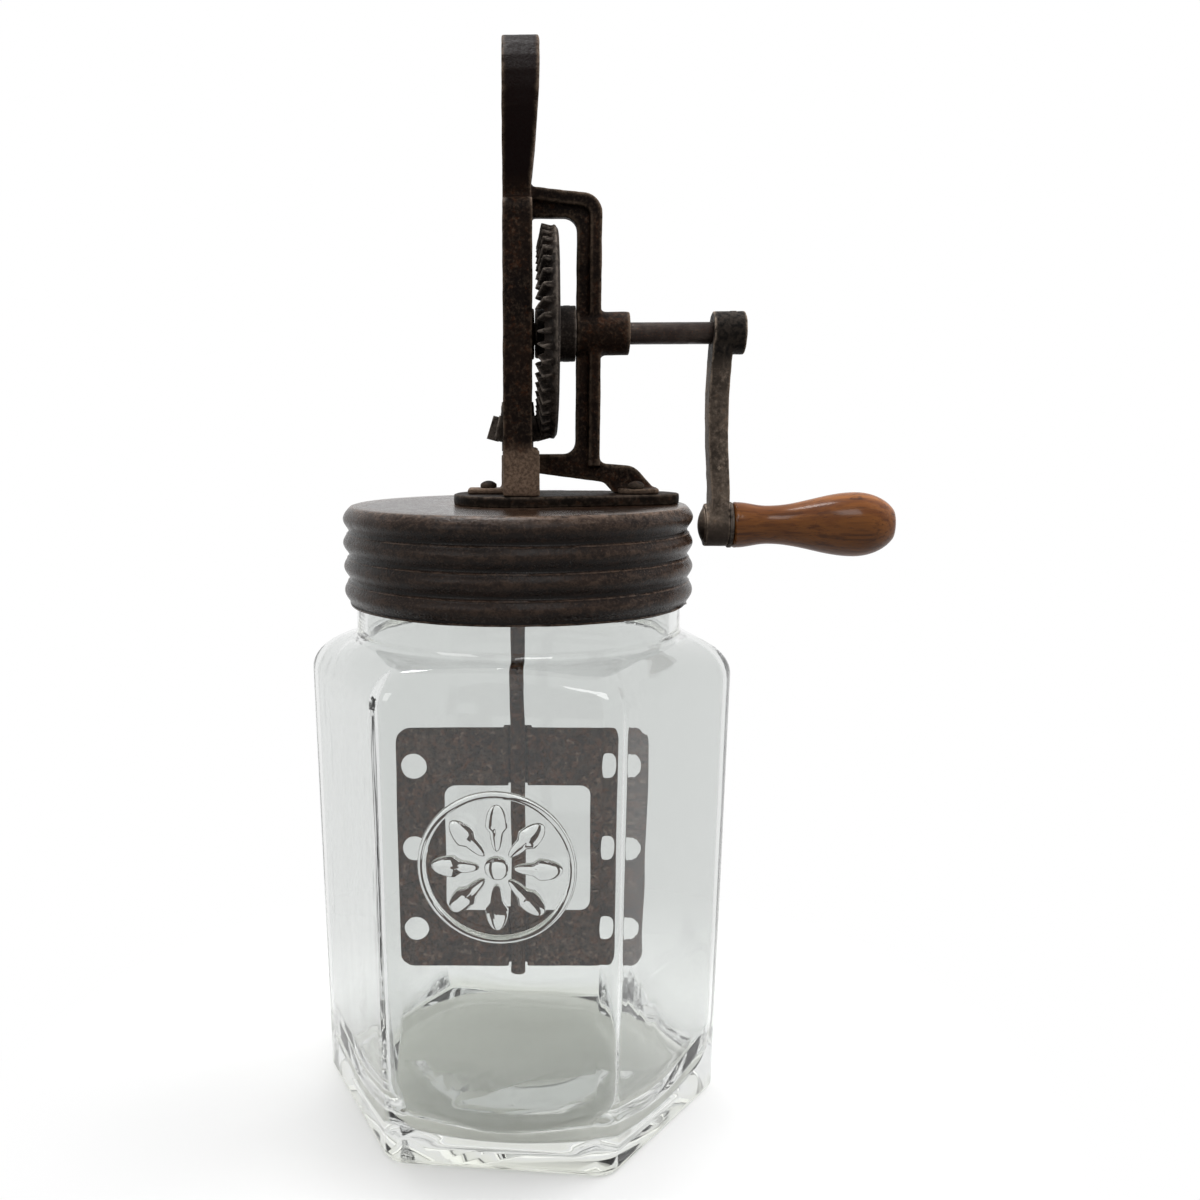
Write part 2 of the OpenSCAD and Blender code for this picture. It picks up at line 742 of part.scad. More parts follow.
// Arm that hangs from the hub to the eye, bowed a little towards the jar, with a ridge down each side
module crank_arm() {
    steps = 16;
    hub_r = crank_hub_d / 2;
    eye_r = crank_eye_d / 2;
    slim = 0.9;
    edge_drop = 0.5;
    ridge_drop = 1.9;
    rings = [for (i = [steps:-1:0])
        let (
            t = i / steps,
            z = crank_z - crank_r * t,
            bow = arm_bow * (1 - sin(min(180, 225 * t))),
            left = arm_x + bow + slim * t * t,
            right = arm_x + bow + arm_t - arm_bow,
            ridge = left + 0.55 * (right - left),
            half = t < 0.5
                ? ease(hub_r - 1, arm_w / 2, 2 * t)
                : ease(arm_w / 2, eye_r - 1, 2 * t - 1),
            in = half - edge_drop,
            out = half - ridge_drop
        )
        [
            [left, -in, z], [ridge, -half, z], [right, -out, z],
            [right, out, z], [ridge, half, z], [left, in, z]
        ]];
    color(iron) difference() {
        union() {
            loft(rings);
            rod_x(hub_r, arm_x + arm_bow, hub_end_x, crank_z);
            rod_x(eye_r, arm_x, arm_out_x, eye_z);
        }
        rod_x(shaft_d / 2 + pin_fit, arm_x - cut, hub_end_x + cut, crank_z);
        rod_x(grip_pin_d / 2 + pin_fit, arm_x - cut, arm_out_x + cut, eye_z);
        rod_z(pin_d / 2 + pin_fit, crank_z - crank_pin_down, crank_z + crank_hub_d, crank_pin_x);
    }
}

module crank_pin() {
    color(steel) rod_z(pin_d / 2, crank_z - crank_pin_down + pin_fit, crank_z + crank_hub_d / 2, crank_pin_x);
}

// Spindle of the grip, with a flat head in the grip's end and a riveted head inside the arm
module grip_spindle() {
    head_x = end_seat_x + face_gap + end_washer_t;
    color(steel) {
        rod_x(grip_pin_d / 2, arm_x, head_x, eye_z);
        translate([arm_x, 0, eye_z]) rotate([0, -90, 0]) dome(eye_head_d, eye_head_h);
        translate([head_x, 0, eye_z]) rotate([0, 90, 0]) dome(pin_head_d, pin_head_h);
    }
}

module grip_washer() {
    color(steel) difference() {
        rod_x(grip_collar_d / 2, arm_out_x, arm_out_x + grip_washer_t, eye_z);
        rod_x(grip_pin_d / 2 + pin_fit, arm_out_x - cut, arm_out_x + grip_washer_t + cut, eye_z);
    }
}

// Outline of the grip: collar, neck, bulb and blunt round end
grip_outline = concat(
    [[0, grip_collar_d / 2 - 1], [1, grip_collar_d / 2], [2, grip_collar_d / 2]],
    [for (i = [1:grip_steps])
        [2 + (grip_neck_x - 2) * i / grip_steps, ease(grip_collar_d / 2, grip_neck_d / 2, i / grip_steps)]],
    [for (i = [1:grip_steps])
        [grip_neck_x + (grip_bulb_x - grip_neck_x) * i / grip_steps,
            ease(grip_neck_d / 2, grip_bulb_d / 2, i / grip_steps)]],
    [for (t = [9:9:72])
        [grip_bulb_x + (grip_l - grip_bulb_x) * sin(t) / sin(72), grip_bulb_d / 2 * cos(t)]]
);

module wooden_grip() {
    color(wood) difference() {
        translate([grip_x, 0, eye_z]) rotate([0, 90, 0]) rotate_extrude()
            polygon(concat([for (p = grip_outline) [p[1], p[0]]], [[0, grip_l], [0, 0]]));
        rod_x(grip_pin_d / 2 + run_fit, grip_x - cut, grip_end_x + cut, eye_z);
        rod_x(end_recess_d / 2, end_seat_x, grip_end_x + cut, eye_z);
    }
}

module grip_end_washer() {
    washer_x = end_seat_x + face_gap;
    color(steel) difference() {
        rod_x(end_recess_d / 2 - 0.5, washer_x, washer_x + end_washer_t, eye_z);
        rod_x(grip_pin_d / 2 + pin_fit, washer_x - cut, washer_x + end_washer_t + cut, eye_z);
    }
}

// Spindle and dasher

module dasher_spindle() {
    pin_z = collar_top - pinion_collar_h / 2;
    collar_z = spindle_collar_top - spindle_collar_h / 2;
    color(rusty) difference() {
        rod_z(spindle_r, dasher_bottom - spindle_tip, spindle_top);
        for (z = rivet_zs) {
            rod_y(rivet_d / 2 + pin_fit, -spindle_d, spindle_d, 0, z);
            translate([-spindle_d, -spindle_d - spindle_flat_y, z - rivet_head_d])
                cube([2 * spindle_d, spindle_d, 2 * rivet_head_d]);
        }
        rod_x(pin_d / 2 + pin_fit, -spindle_d, spindle_d, pin_z);
        rod_x(pin_d / 2 + pin_fit, -spindle_d, spindle_d, collar_z);
    }
}

module pinion() {
    root_out = pinion_r - tooth_ded * cos(pinion_cone);
    root_in = root_out * tooth_small;
    hub_r = boss_d / 2 - 0.3;
    color(dark_iron) difference() {
        union() {
            rotate_extrude() polygon([
                [0, pinion_bottom], [hub_r, pinion_bottom], [hub_r, pinion_pitch_z - 1],
                [root_out, pinion_pitch_z - 0.4], [root_in, pinion_small_z],
                [root_in - 0.6, collar_top], [0, collar_top]
            ]);
            translate([0, 0, crank_z]) rotate([180, 0, 0])
                bevel_teeth(pinion_teeth, pinion_cone, 180 / pinion_teeth,
                    0.6 * gear_module, 0.56 * gear_module, 0.26 * gear_module);
        }
        rod_z(spindle_r + pin_fit, pinion_bottom - cut, collar_top + cut);
        rod_x(pin_d / 2 + pin_fit, -boss_d, boss_d, collar_top - pinion_collar_h / 2);
    }
}

module pinion_pin() {
    reach = (pinion_r - tooth_ded * cos(pinion_cone)) * tooth_small - 0.3;
    color(steel) rod_x(pin_d / 2, -reach, reach, collar_top - pinion_collar_h / 2);
}

module thrust_washer() {
    color(steel) difference() {
        rod_z(boss_d / 2 - 0.5, washer_bottom, washer_bottom + washer_t);
        rod_z(spindle_r + run_fit, washer_bottom - cut, washer_bottom + washer_t + cut);
    }
}

module spindle_collar() {
    bottom = spindle_collar_top - spindle_collar_h;
    color(steel) difference() {
        rod_z(spindle_collar_d / 2, bottom, spindle_collar_top);
        rod_z(spindle_r + pin_fit, bottom - cut, spindle_collar_top + cut);
        rod_x(pin_d / 2 + pin_fit, -spindle_collar_d, spindle_collar_d, bottom + spindle_collar_h / 2);
    }
}

module collar_pin() {
    reach = spindle_collar_d / 2;
    color(steel) rod_x(pin_d / 2, -reach, reach, spindle_collar_top - spindle_collar_h / 2);
}

// Flat plate with a pressed trough behind the spindle
module dasher_plate() {
    half = dasher_w / 2;
    face = dasher_t / 2;
    back = trough_y + dasher_t;
    bend = trough_half + dasher_t;
    bend_r = 0.9;
    half_window = window_w / 2;
    color(rusty) difference() {
        intersection() {
            translate([0, 0, dasher_bottom]) linear_extrude(dasher_h) polygon(rounded([
                [-half, -face, 0], [-trough_half, -face, bend_r], [-trough_half, trough_y, bend_r],
                [trough_half, trough_y, bend_r], [trough_half, -face, bend_r], [half, -face, 0],
                [half, face, 0], [bend, face, bend_r], [bend, back, bend_r],
                [-bend, back, bend_r], [-bend, face, bend_r], [-half, face, 0]
            ]));
            outline_xz(box_corners(-half, dasher_bottom, half, dasher_top, dasher_corner_r), 4 * back);
        }
        outline_xz(box_corners(-half_window, dasher_mid - window_h / 2,
            half_window, dasher_mid + window_h / 2, window_r), 4 * back);
        for (s = [-1, 1], k = [-1, 0, 1])
            rod_y(hole_d / 2, -2 * back, 2 * back, s * (half - hole_inset), dasher_mid + k * hole_pitch);
        for (z = rivet_zs) rod_y(rivet_d / 2 + pin_fit, 0, 2 * back, 0, z);
    }
}

module dasher_rivets() {
    back = trough_y + dasher_t;
    color(steel) for (z = rivet_zs) {
        rod_y(rivet_d / 2, -spindle_flat_y, back, 0, z);
        translate([0, -spindle_flat_y, z]) rotate([90, 0, 0]) dome(rivet_head_d, rivet_head_h);
        translate([0, back, z]) rotate([-90, 0, 0]) dome(rivet_head_d, rivet_head_h);
    }
}

glass_jar();
seal_ring();
lid();
base_plate();
frame();
frame_bolts();
bolt_washers();
bolt_nuts();
crank_shaft();
drive_gear();
gear_pin();
crank_arm();
crank_pin();
grip_spindle();
grip_washer();
wooden_grip();
grip_end_washer();
dasher_spindle();
pinion();
pinion_pin();
thrust_washer();
spindle_collar();
collar_pin();
dasher_plate();
dasher_rivets();
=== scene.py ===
"""Glass jar butter churn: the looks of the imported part, in metres, in the part's own frame."""

import json
from math import cos, exp, pi, radians, sin, tan

import bpy
from mathutils import Matrix, Vector

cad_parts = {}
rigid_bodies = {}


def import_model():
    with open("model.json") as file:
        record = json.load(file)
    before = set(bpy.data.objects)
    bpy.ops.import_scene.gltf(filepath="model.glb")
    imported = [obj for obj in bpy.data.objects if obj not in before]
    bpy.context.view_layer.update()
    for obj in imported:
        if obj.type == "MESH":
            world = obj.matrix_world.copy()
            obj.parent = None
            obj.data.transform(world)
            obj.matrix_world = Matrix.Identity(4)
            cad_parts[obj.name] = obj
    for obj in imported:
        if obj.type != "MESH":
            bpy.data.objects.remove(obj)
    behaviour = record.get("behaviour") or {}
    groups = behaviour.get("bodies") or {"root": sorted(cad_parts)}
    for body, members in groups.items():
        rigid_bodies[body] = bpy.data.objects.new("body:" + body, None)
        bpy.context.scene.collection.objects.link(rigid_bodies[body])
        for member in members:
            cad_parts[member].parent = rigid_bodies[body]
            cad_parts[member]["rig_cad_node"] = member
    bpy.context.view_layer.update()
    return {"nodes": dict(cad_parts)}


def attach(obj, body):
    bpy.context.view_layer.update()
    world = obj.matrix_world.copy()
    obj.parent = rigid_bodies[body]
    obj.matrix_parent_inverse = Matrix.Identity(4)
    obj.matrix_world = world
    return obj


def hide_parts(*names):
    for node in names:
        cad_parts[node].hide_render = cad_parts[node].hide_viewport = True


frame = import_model()
mm = 0.001


# Hand tools

def rest():
    """Leave edit mode and drop every selection."""
    if bpy.context.object and bpy.context.object.mode != "OBJECT":
        bpy.ops.object.mode_set(mode="OBJECT")
    bpy.ops.object.select_all(action="DESELECT")


def take(piece):
    """Make one piece the only selected and the active one."""
    rest()
    piece.select_set(True)
    bpy.context.view_layer.objects.active = piece


def edit(piece, action="SELECT", level="VERT"):
    take(piece)
    bpy.ops.object.mode_set(mode="EDIT")
    bpy.ops.mesh.select_mode(type=level)
    bpy.ops.mesh.select_all(action=action)


def pick(piece, test, level="VERT"):
    """Select in edit mode the points, edges or faces that pass a test."""
    edit(piece, "DESELECT", level)
    bpy.ops.object.mode_set(mode="OBJECT")
    mesh = piece.data
    found = {"VERT": mesh.vertices, "EDGE": mesh.edges, "FACE": mesh.polygons}[level]
    for item in found:
        item.select = test(item)
    bpy.ops.object.mode_set(mode="EDIT")


def named(name):
    """Give the piece just added its name."""
    piece = bpy.context.object
    piece.name = piece.data.name = name
    return piece


def settle(piece):
    """Put the piece's place into its mesh, with the object at the origin."""
    take(piece)
    bpy.ops.object.transform_apply(location=True, rotation=True, scale=True)


def modify(piece, kind, **values):
    """Add one modifier, set it and apply it."""
    take(piece)
    step = piece.modifiers.new(kind.lower(), kind)
    for key, value in values.items():
        setattr(step, key, value)
    bpy.ops.object.modifier_apply(modifier=step.name)


def clean(piece, gap=2e-6):
    """Merge doubled points and turn every face outwards."""
    edit(piece)
    bpy.ops.mesh.remove_doubles(threshold=gap)
    bpy.ops.mesh.normals_make_consistent(inside=False)
    rest()


def smooth(piece, angle=35):
    take(piece)
    bpy.ops.object.shade_smooth_by_angle(angle=radians(angle))


def join(pieces):
    """Join pieces into the first one."""
    rest()
    for piece in pieces:
        piece.select_set(True)
    bpy.context.view_layer.objects.active = pieces[0]
    bpy.ops.object.join()
    return pieces[0]


def draw_line(name, points):
    """Draw an open line of edges through points, one short pull at a time."""
    rest()
    bpy.ops.mesh.primitive_plane_add(size=0.001, location=(0, 0, 0))
    piece = named(name)
    edit(piece)
    bpy.ops.mesh.merge(type="CENTER")
    bpy.ops.transform.translate(value=points[0])
    for a, b in zip(points, points[1:]):
        bpy.ops.mesh.extrude_region_move(
            TRANSFORM_OT_translate={"value": tuple(Vector(b) - Vector(a))})
    rest()
    return piece


def turn_profile(name, points, axis, centre, steps):
    """Turn a drawn line round an axis, as on a lathe."""
    piece = draw_line(name, points)
    edit(piece)
    bpy.ops.mesh.spin(steps=steps, angle=2 * pi, center=centre, axis=axis)
    rest()
    return piece


def ease(a, b, t):
    return a + (b - a) * (1 - cos(pi * t)) / 2


def copy_of(node):
    """A working copy of a CAD node, with its loose triangles sewn together."""
    take(frame["nodes"][node])
    bpy.ops.object.duplicate()
    piece = named(node + "_finished")
    del piece["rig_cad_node"]
    if piece.data.has_custom_normals:
        bpy.ops.mesh.customdata_custom_splitnormals_clear()
    edit(piece)
    bpy.ops.mesh.remove_doubles(threshold=3e-6)
    rest()
    return piece


def broken_edges(node, width):
    """A copy of a CAD node whose sharp edges are slightly broken, as after filing."""
    piece = copy_of(node)
    edit(piece)
    bpy.ops.mesh.dissolve_limited(angle_limit=radians(0.6))
    rest()
    modify(piece, "BEVEL", width=width, segments=2, limit_method="ANGLE",
           angle_limit=radians(28), use_clamp_overlap=True)
    smooth(piece, 32)
    return piece


def sand_cast(node, voxel, soften, unevenness, grain_size):
    """A copy of a CAD node with the soft edges and uneven skin of a sand casting."""
    piece = copy_of(node)
    modify(piece, "REMESH", mode="VOXEL", voxel_size=voxel, adaptivity=0)
    modify(piece, "SMOOTH", factor=0.5, iterations=soften)
    skin = bpy.data.textures.new(node + "_skin", "CLOUDS")
    skin.noise_scale = grain_size
    skin.noise_depth = 3
    modify(piece, "DISPLACE", texture=skin, texture_coords="LOCAL",
           strength=unevenness, mid_level=0.62)
    take(piece)
    bpy.ops.object.shade_smooth()
    return piece


# Finishes

mix_a, mix_b, mix_out = 6, 7, 2  # the colour sockets of a Mix node


class Finish:
    """One node-based material on the piece's own Object coordinates."""

    def __init__(self, name, **sockets):
        self.material = bpy.data.materials.new(name)
        self.material.use_nodes = True
        self.tree = self.material.node_tree
        self.shader = self.tree.nodes["Principled BSDF"]
        self.output = self.tree.nodes["Material Output"]
        self.place = self.node("ShaderNodeTexCoord").outputs["Object"]
        for key, value in sockets.items():
            self.shader.inputs[key.replace("_", " ")].default_value = value

    def node(self, kind, **settings):
        made = self.tree.nodes.new(kind)
        for key, value in settings.items():
            setattr(made, key, value)
        return made

    def link(self, source, target):
        if isinstance(source, (int, float)):
            target.default_value = source
        elif isinstance(source, tuple):
            target.default_value = source if len(source) == 4 else (*source, 1)
        else:
            self.tree.links.new(source, target)

    def stretched(self, scale, turn=(0, 0, 0)):
        mapping = self.node("ShaderNodeMapping")
        mapping.inputs["Scale"].default_value = scale
        mapping.inputs["Rotation"].default_value = turn
        self.link(self.place, mapping.inputs["Vector"])
        return mapping.outputs["Vector"]

    def noise(self, scale, detail=4, roughness=0.55, distortion=0.0, where=None):
        made = self.node("ShaderNodeTexNoise")
        made.inputs["Scale"].default_value = scale
        made.inputs["Detail"].default_value = detail
        made.inputs["Roughness"].default_value = roughness
        made.inputs["Distortion"].default_value = distortion
        self.link(where or self.place, made.inputs["Vector"])
        return made.outputs["Fac"]

    def span(self, value, low, high, to_low=0.0, to_high=1.0):
        made = self.node("ShaderNodeMapRange", interpolation_type="SMOOTHSTEP")
        self.link(value, made.inputs["Value"])
        for key, number in (("From Min", low), ("From Max", high),
                            ("To Min", to_low), ("To Max", to_high)):
            made.inputs[key].default_value = number
        return made.outputs["Result"]

    def sum(self, a, b, operation="ADD"):
        made = self.node("ShaderNodeMath", operation=operation)
        self.link(a, made.inputs[0])
        self.link(b, made.inputs[1])
        return made.outputs[0]

    def blend(self, share, a, b):
        made = self.node("ShaderNodeMix", data_type="RGBA")
        self.link(share, made.inputs["Factor"])
        self.link(a, made.inputs[mix_a])
        self.link(b, made.inputs[mix_b])
        return made.outputs[mix_out]

    def height(self, axis):
        apart = self.node("ShaderNodeSeparateXYZ")
        self.link(self.place, apart.inputs[0])
        return apart.outputs[axis]

    def edges(self, low, high):
        """Share of wear where the surface stands out."""
        return self.span(self.node("ShaderNodeNewGeometry").outputs["Pointiness"], low, high)

    def relief(self, height, depth, strength):
        made = self.node("ShaderNodeBump")
        made.inputs["Strength"].default_value = strength
        made.inputs["Distance"].default_value = depth
        self.link(height, made.inputs["Height"])
        return made.outputs["Normal"]

    def set(self, **sockets):
        for key, value in sockets.items():
            self.link(value, self.shader.inputs[key.replace("_", " ")])
        return self.material


def aged_iron(name, dark, brown, rust, worn, grain, wear=(0.504, 0.54), rust_low=0.58,
              worn_share=0.45, zones=()):
    """Old cast iron: black skin, brown film, rust in patches, rubbed edges and a grainy skin.

    A zone is (low, high, tone, side): a lighter or darker tone painted over part of the piece as
    painted light or painted shade; it comes in from height low to height high, where x is below side.
    """
    f = Finish(name, Metallic=0.0, IOR=1.5, Specular_IOR_Level=0.045)
    broad = f.noise(38, 5, 0.6)
    patch = f.noise(330, 6, 0.7, 0.4)
    speck = f.noise(grain, 3, 0.6)
    fine = f.noise(grain * 2.6, 2, 0.5)
    colour = f.blend(f.span(f.sum(broad, f.sum(patch, 0.5, "MULTIPLY")), 0.6, 0.95), dark, brown)
    rusty = f.span(f.sum(patch, f.sum(broad, 0.3, "MULTIPLY")), rust_low + 0.08, rust_low + 0.26)
    colour = f.blend(f.sum(rusty, 0.8, "MULTIPLY"), colour, rust)
    grainy = f.sum(f.span(speck, 0.42, 0.72), f.span(patch, 0.34, 0.66), "MULTIPLY")
    colour = f.blend(f.sum(grainy, worn_share, "MULTIPLY"), colour, worn)
    # painted light and shade, zone by zone: a tone laid over a region by height and side
    for low, high, tone, side in zones:
        share = f.span(f.sum(f.height(2), f.sum(patch, 0.006, "MULTIPLY")), low, high)
        share = f.sum(share, f.span(f.height(0), side + 0.008, side), "MULTIPLY")
        deep = tuple(0.45 * t + 0.55 * d for t, d in zip(tone, dark))
        colour = f.blend(share, colour, f.blend(f.span(speck, 0.36, 0.64), deep, tone))
    rubbed = f.sum(f.edges(*wear), f.span(patch, 0.3, 0.6), "MULTIPLY")
    colour = f.blend(f.sum(rubbed, 0.85, "MULTIPLY"), colour, worn)
    # painted shade: darker, towards the black skin colour, in hollows and creases
    colour = f.blend(f.sum(f.edges(0.48, 0.43), 0.8, "MULTIPLY"), colour, dark)
    pitted = f.relief(f.sum(speck, f.sum(fine, 0.5, "MULTIPLY")), 0.00022, 0.9)
    return f.set(Base_Color=colour, Normal=pitted,
                 Roughness=f.span(f.sum(speck, f.sum(broad, 0.6, "MULTIPLY")), 0.5, 1.1, 0.42, 0.68))


def lacquered_tin(name):
    """Tinned lid gone dark brown and mottled, with painted shade in the grooves, and rubbed wear with a
    painted highlight along the bead crests.
    """
    f = Finish(name, Metallic=0.0, IOR=1.5, Specular_IOR_Level=0.12)
    broad = f.noise(30, 5, 0.6, where=f.stretched((1, 1, 2.5)))
    patch = f.noise(260, 6, 0.72, 0.3, where=f.stretched((1, 1, 1.8)))
    speck = f.noise(1000, 3, 0.6)
    colour = f.blend(f.span(broad, 0.36, 0.66), (0.0055, 0.0023, 0.0012), (0.0165, 0.0082, 0.0048))
    colour = f.blend(f.sum(f.span(patch, 0.46, 0.7), 0.6, "MULTIPLY"), colour, (0.038, 0.0205, 0.0125))
    # rubbed wear along the bead crests, painted lighter as a highlight too
    crest_wear_and_highlight = f.sum(f.edges(0.503, 0.53), f.span(patch, 0.34, 0.62), "MULTIPLY")
    colour = f.blend(f.sum(crest_wear_and_highlight, 0.8, "MULTIPLY"), colour, (0.12, 0.08, 0.058))
    colour = f.blend(f.sum(f.span(speck, 0.54, 0.7), 0.55, "MULTIPLY"), colour, (0.07, 0.044, 0.03))
    # painted shade: near black in the grooves between the beads
    colour = f.blend(f.sum(f.edges(0.497, 0.47), 0.9, "MULTIPLY"), colour, (0.0025, 0.0012, 0.0007))
    skin = f.relief(f.sum(speck, f.sum(patch, 1.2, "MULTIPLY")), 0.0002, 0.85)
    gloss = f.span(f.sum(patch, f.sum(speck, 0.4, "MULTIPLY")), 0.45, 0.95, 0.18, 0.34)
    top = f.span(f.height(2), 0.2652, 0.2664, 1.0, 0.75)
    return f.set(Base_Color=colour, Normal=skin, Roughness=f.sum(gloss, top, "MULTIPLY"))


def rusty_sheet(name):
    """Bare sheet iron under a mottled brown bloom of old rust."""
    f = Finish(name, Metallic=0.0, IOR=1.5, Specular_IOR_Level=0.07)
    broad = f.noise(42, 5, 0.62)
    patch = f.noise(150, 8, 0.76, 0.5)
    speck = f.noise(560, 4, 0.7)
    colour = f.blend(f.span(broad, 0.36, 0.66), (0.017, 0.008, 0.004), (0.092, 0.064, 0.048))
    colour = f.blend(f.sum(f.span(patch, 0.44, 0.6), 0.85, "MULTIPLY"), colour, (0.09, 0.034, 0.014))
    colour = f.blend(f.sum(f.span(speck, 0.47, 0.58), 0.85, "MULTIPLY"), colour, (0.011, 0.006, 0.004))
    bare = f.span(f.noise(330, 4, 0.68), 0.57, 0.66)
    colour = f.blend(f.sum(bare, 0.6, "MULTIPLY"), colour, (0.21, 0.15, 0.112))
    return f.set(Base_Color=colour, Roughness=f.span(patch, 0.3, 0.7, 0.6, 0.85),
                 Normal=f.relief(f.sum(speck, patch), 0.00025, 0.85))


def dull_steel(name, tint=(0.11, 0.095, 0.085), film=(0.055, 0.04, 0.032)):
    """Plain steel, grey-brown from handling, with fine scratches and rust spots."""
    f = Finish(name, Metallic=0.85, IOR=1.6)
    patch = f.noise(170, 6, 0.66)
    speck = f.noise(1500, 3, 0.6)
    scratch = f.noise(260, 2, 0.5, where=f.stretched((1, 1, 14)))
    colour = f.blend(f.span(patch, 0.36, 0.64), tint, film)
    colour = f.blend(f.sum(f.span(speck, 0.55, 0.72), 0.7, "MULTIPLY"), colour, (0.06, 0.026, 0.013))
    return f.set(Base_Color=colour, Roughness=f.span(scratch, 0.3, 0.7, 0.38, 0.62),
                 Normal=f.relief(f.sum(speck, scratch), 0.00012, 0.7))


def old_rubber(name):
    """Hardened red-brown rubber with a dusty bloom."""
    f = Finish(name, IOR=1.5)
    patch = f.noise(90, 5, 0.6)
    speck = f.noise(1200, 3, 0.6)
    colour = f.blend(f.span(patch, 0.36, 0.64), (0.16, 0.062, 0.036), (0.1, 0.045, 0.03))
    colour = f.blend(f.sum(f.span(speck, 0.52, 0.7), 0.45, "MULTIPLY"), colour, (0.27, 0.18, 0.14))
    return f.set(Base_Color=colour, Roughness=f.span(speck, 0.3, 0.7, 0.6, 0.8),
                 Normal=f.relief(speck, 0.00012, 0.6))


def waxed_wood(name):
    """Turned hardwood, honey brown under old wax, with streaks along the grip and dark knocks."""
    f = Finish(name, IOR=1.5, Specular_IOR_Level=0.06, Coat_Weight=0.28, Coat_Roughness=0.15)
    bend = f.noise(28, 3, 0.5, where=f.stretched((0.35, 1, 1)))
    fibre = f.noise(520, 5, 0.6, 0.2, where=f.stretched((0.045, 1, 1), (0.03, 0.02, 0.06)))
    ring = f.noise(150, 4, 0.55, 0.5, where=f.stretched((0.09, 1, 1), (0.0, 0.06, 0.04)))
    pore = f.noise(1900, 2, 0.5, where=f.stretched((0.06, 1, 1)))
    colour = f.blend(f.span(ring, 0.32, 0.68), (0.205, 0.07, 0.013), (0.105, 0.03, 0.0052))
    colour = f.blend(f.sum(f.span(fibre, 0.46, 0.68), 0.75, "MULTIPLY"), colour, (0.055, 0.0145, 0.003))
    colour = f.blend(f.sum(f.span(bend, 0.5, 0.74), 0.5, "MULTIPLY"), colour, (0.085, 0.024, 0.0055))
    colour = f.blend(f.sum(f.span(pore, 0.6, 0.72), 0.55, "MULTIPLY"), colour, (0.03, 0.009, 0.003))
    knock = f.noise(70, 4, 0.7, 0.9, where=f.stretched((0.5, 1, 1)))
    colour = f.blend(f.sum(f.span(knock, 0.65, 0.71), 0.8, "MULTIPLY"), colour, (0.012, 0.0045, 0.0025))
    colour = f.blend(f.sum(f.edges(0.53, 0.6), 0.4, "MULTIPLY"), colour, (0.3, 0.13, 0.05))
    return f.set(Base_Color=colour, Roughness=f.span(f.sum(fibre, bend), 0.7, 1.3, 0.34, 0.5),
                 Normal=f.relief(f.sum(f.sum(fibre, pore), f.sum(knock, -0.6, "MULTIPLY")), 0.00012, 0.6))


def pressed_glass(name):
    """Pressed glass with a light grey tint, olive in the thick foot, and slightly wavy walls."""
    f = Finish(name, Transmission_Weight=1.0, IOR=1.5, Roughness=0.0)
    slow = f.noise(24, 2, 0.45, where=f.stretched((1, 1, 0.45)))
    streak = f.noise(130, 2, 0.5, where=f.stretched((1, 1, 0.1)))
    calm = f.span(f.height(2), 0.012, 0.06, 0.08, 1.0)
    wave = f.sum(f.sum(slow, f.sum(streak, 0.05, "MULTIPLY")), calm, "MULTIPLY")
    above_foot = f.span(f.height(2), 0.001, 0.012)
    f.set(Normal=f.relief(wave, 0.0012, 0.5),
          Base_Color=f.blend(above_foot, (0.72, 0.735, 0.66), (0.765, 0.779, 0.77)))
    light = f.node("ShaderNodeLightPath")
    clear = f.node("ShaderNodeBsdfTransparent")  # light passes, so the floor inside isn't black
    clear.inputs["Color"].default_value = (0.82, 0.822, 0.815, 1)
    mix = f.node("ShaderNodeMixShader")
    f.link(light.outputs["Is Shadow Ray"], mix.inputs[0])
    f.link(f.shader.outputs[0], mix.inputs[1])
    f.link(clear.outputs[0], mix.inputs[2])
    f.link(mix.outputs[0], f.output.inputs["Surface"])
    return f.material


# The frame's zones paint light low on the upright side and paint shade over the handle.
iron = aged_iron("aged_cast_iron", (0.0035, 0.0016, 0.0011), (0.019, 0.0102, 0.0066),
                 (0.055, 0.019, 0.0075), (0.13, 0.092, 0.066), grain=800, worn_share=0.5,
                 zones=((0.297, 0.289, (0.19, 0.128, 0.09), 0.006),
                        (0.392, 0.401, (0.004, 0.0013, 0.001), 0.2)))
# The crank arm's iron is a lighter copy of the cast iron, partly rubbed wear and partly painted light; its
# zones paint shade over the crank hub and darken the lower end round the eye.
arm_iron = aged_iron("rubbed_and_painted_light_iron", (0.05, 0.039, 0.031), (0.17, 0.132, 0.103),
                     (0.15, 0.088, 0.052), (0.38, 0.3, 0.235), grain=560, wear=(0.505, 0.55), rust_low=0.62,
                     zones=((0.324, 0.332, (0.0075, 0.0064, 0.0058), 0.2),
                            (0.266, 0.256, (0.075, 0.058, 0.047), 0.2)))
plate_iron = aged_iron("plate_iron", (0.005, 0.0035, 0.0026), (0.013, 0.0082, 0.0058),
                       (0.034, 0.015, 0.0075), (0.075, 0.056, 0.043), grain=700)
gear_iron = aged_iron("gear_iron", (0.008, 0.006, 0.005), (0.024, 0.018, 0.0148),
                      (0.034, 0.016, 0.009), (0.15, 0.125, 0.105), grain=1000,
                      wear=(0.505, 0.545), rust_low=0.64)
tin = lacquered_tin("brown_lacquered_tin")
sheet = rusty_sheet("rusty_sheet_iron")
steel = dull_steel("handled_steel")
shaft_steel = dull_steel("oiled_shaft_steel", (0.03, 0.022, 0.018), (0.016, 0.01, 0.008))
rubber = old_rubber("old_rubber")
wood = waxed_wood("waxed_grip_wood")
glass = pressed_glass("pressed_glass")


